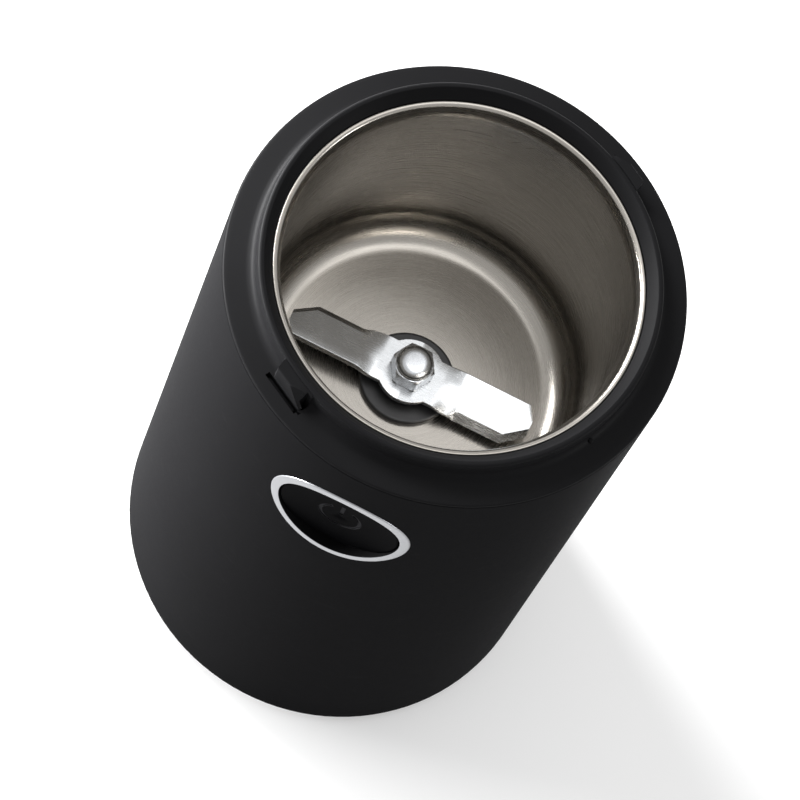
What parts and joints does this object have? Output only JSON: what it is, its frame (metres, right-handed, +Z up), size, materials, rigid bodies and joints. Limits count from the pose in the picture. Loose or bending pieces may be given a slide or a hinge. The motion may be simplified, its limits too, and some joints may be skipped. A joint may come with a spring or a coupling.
{
  "type": "electric spice grinder",
  "caption": "Cylindrical electric spice grinder with a fixed steel bowl, two-wing blade, front push button, lid interlock in the collar and a motor inside.",
  "frame": {"origin": "centre of the footprint, on the surface that the feet stand on", "axes": "+Z up along the axis of the body, -Y towards the push button, +Y towards the cord inlet, +X to the right of someone facing the button"},
  "size_m": [0.092, 0.0934, 0.1589],
  "materials": {
    "shell": "soft-touch matte black",
    "collar": "moulded dark grey, satin",
    "bowl_steel": "stainless steel, spun and brushed",
    "silicone": "dark grey silicone",
    "inner_plastic": "glass-filled black plastic",
    "seal_rubber": "red-brown lip seal",
    "chassis_plastic": "grey glass-filled plastic",
    "base_plastic": "fine textured black",
    "zinc": "zinc-plated steel",
    "rubber": "black rubber",
    "bezel": "satin silver",
    "button": "satin black",
    "white_plastic": "natural acetal",
    "switch_plastic": "black thermoset",
    "board": "green circuit board",
    "latch_plastic": "black acetal",
    "spring_steel": "drawn spring wire",
    "red_plastic": "red switch button",
    "die_cast": "die-cast, bead-blasted",
    "bronze": "sintered bronze",
    "laminations": "stacked electrical steel",
    "copper": "enamelled copper wire",
    "phenolic": "brown laminate",
    "brass": "stamped brass",
    "carbon": "graphite",
    "shaft_steel": "ground steel",
    "copper_bars": "turned copper bars",
    "fan_plastic": "moulded dark grey",
    "blade_steel": "stainless steel, stamped and ground",
    "yellow_plastic": "yellow moulded case",
    "heat_sink": "extruded aluminium",
    "blue_plastic": "blue moulded block",
    "red_lead": "red insulated lead",
    "black_lead": "black insulated lead",
    "white_lead": "white insulated lead",
    "gland": "moulded black rubber"
  },
  "bodies": {
    "housing": {"outer_shell": "shell", "collar_ring": "collar", "collar_screws": "zinc", "grinding_bowl": "bowl_steel", "bowl_gasket": "silicone", "bowl_bush": "inner_plastic", "shaft_seal": "seal_rubber", "chassis": "chassis_plastic", "base_cover": "base_plastic", "base_screws": "zinc", "rubber_feet": "rubber", "button_bezel": "bezel", "push_switch": "switch_plastic", "switch_board": "board", "board_screws": "zinc", "interlock_spring": "spring_steel", "interlock_switch": "switch_plastic", "upper_bracket": "die_cast", "lower_bracket": "die_cast", "upper_bearing": "bronze", "lower_bearing": "bronze", "stator_core": "laminations", "field_coils": "copper", "through_bolts": "zinc", "bolt_nuts": "zinc", "rubber_dampers": "rubber", "damper_screws": "zinc", "lower_cushion": "rubber", "brush_plate": "phenolic", "brush_holders": "brass", "plate_screws": "zinc", "carbon_brushes": "carbon", "brush_springs": "spring_steel", "power_board": "board", "noise_capacitor": "yellow_plastic", "triac": "switch_plastic", "heat_sink": "heat_sink", "terminal_block": "blue_plastic", "switch_leads": "red_lead", "interlock_leads": "black_lead", "motor_leads": "white_lead", "cord_gland": "gland"},
    "rotor": {"drive_shaft": "shaft_steel", "armature_core": "laminations", "armature_winding": "copper", "commutator": "copper_bars", "cooling_fan": "fan_plastic", "blade_spacer": "inner_plastic", "blade": "blade_steel", "blade_nut": "blade_steel"},
    "button": {"power_button": "button", "switch_plunger": "white_plastic"},
    "latch": {"interlock_plunger": "latch_plastic", "interlock_button": "red_plastic"}
  },
  "joints": [
    {"name": "rotor_spin", "type": "hinge", "parent": "housing", "child": "rotor", "pos_m": [0, 0, 0.05], "axis": [0, 0, 1], "continuous": true},
    {"name": "button_press", "type": "slide", "parent": "housing", "child": "button", "axis": [0, 1, 0], "range_m": [0, 0.0012], "stiffness_N_per_m": 600, "springref_m": -0.002},
    {"name": "latch_press", "type": "slide", "parent": "housing", "child": "latch", "axis": [0, 0, -1], "range_m": [0, 0.002], "stiffness_N_per_m": 400, "springref_m": -0.002, "deforming": ["interlock_spring"]}
  ]
}
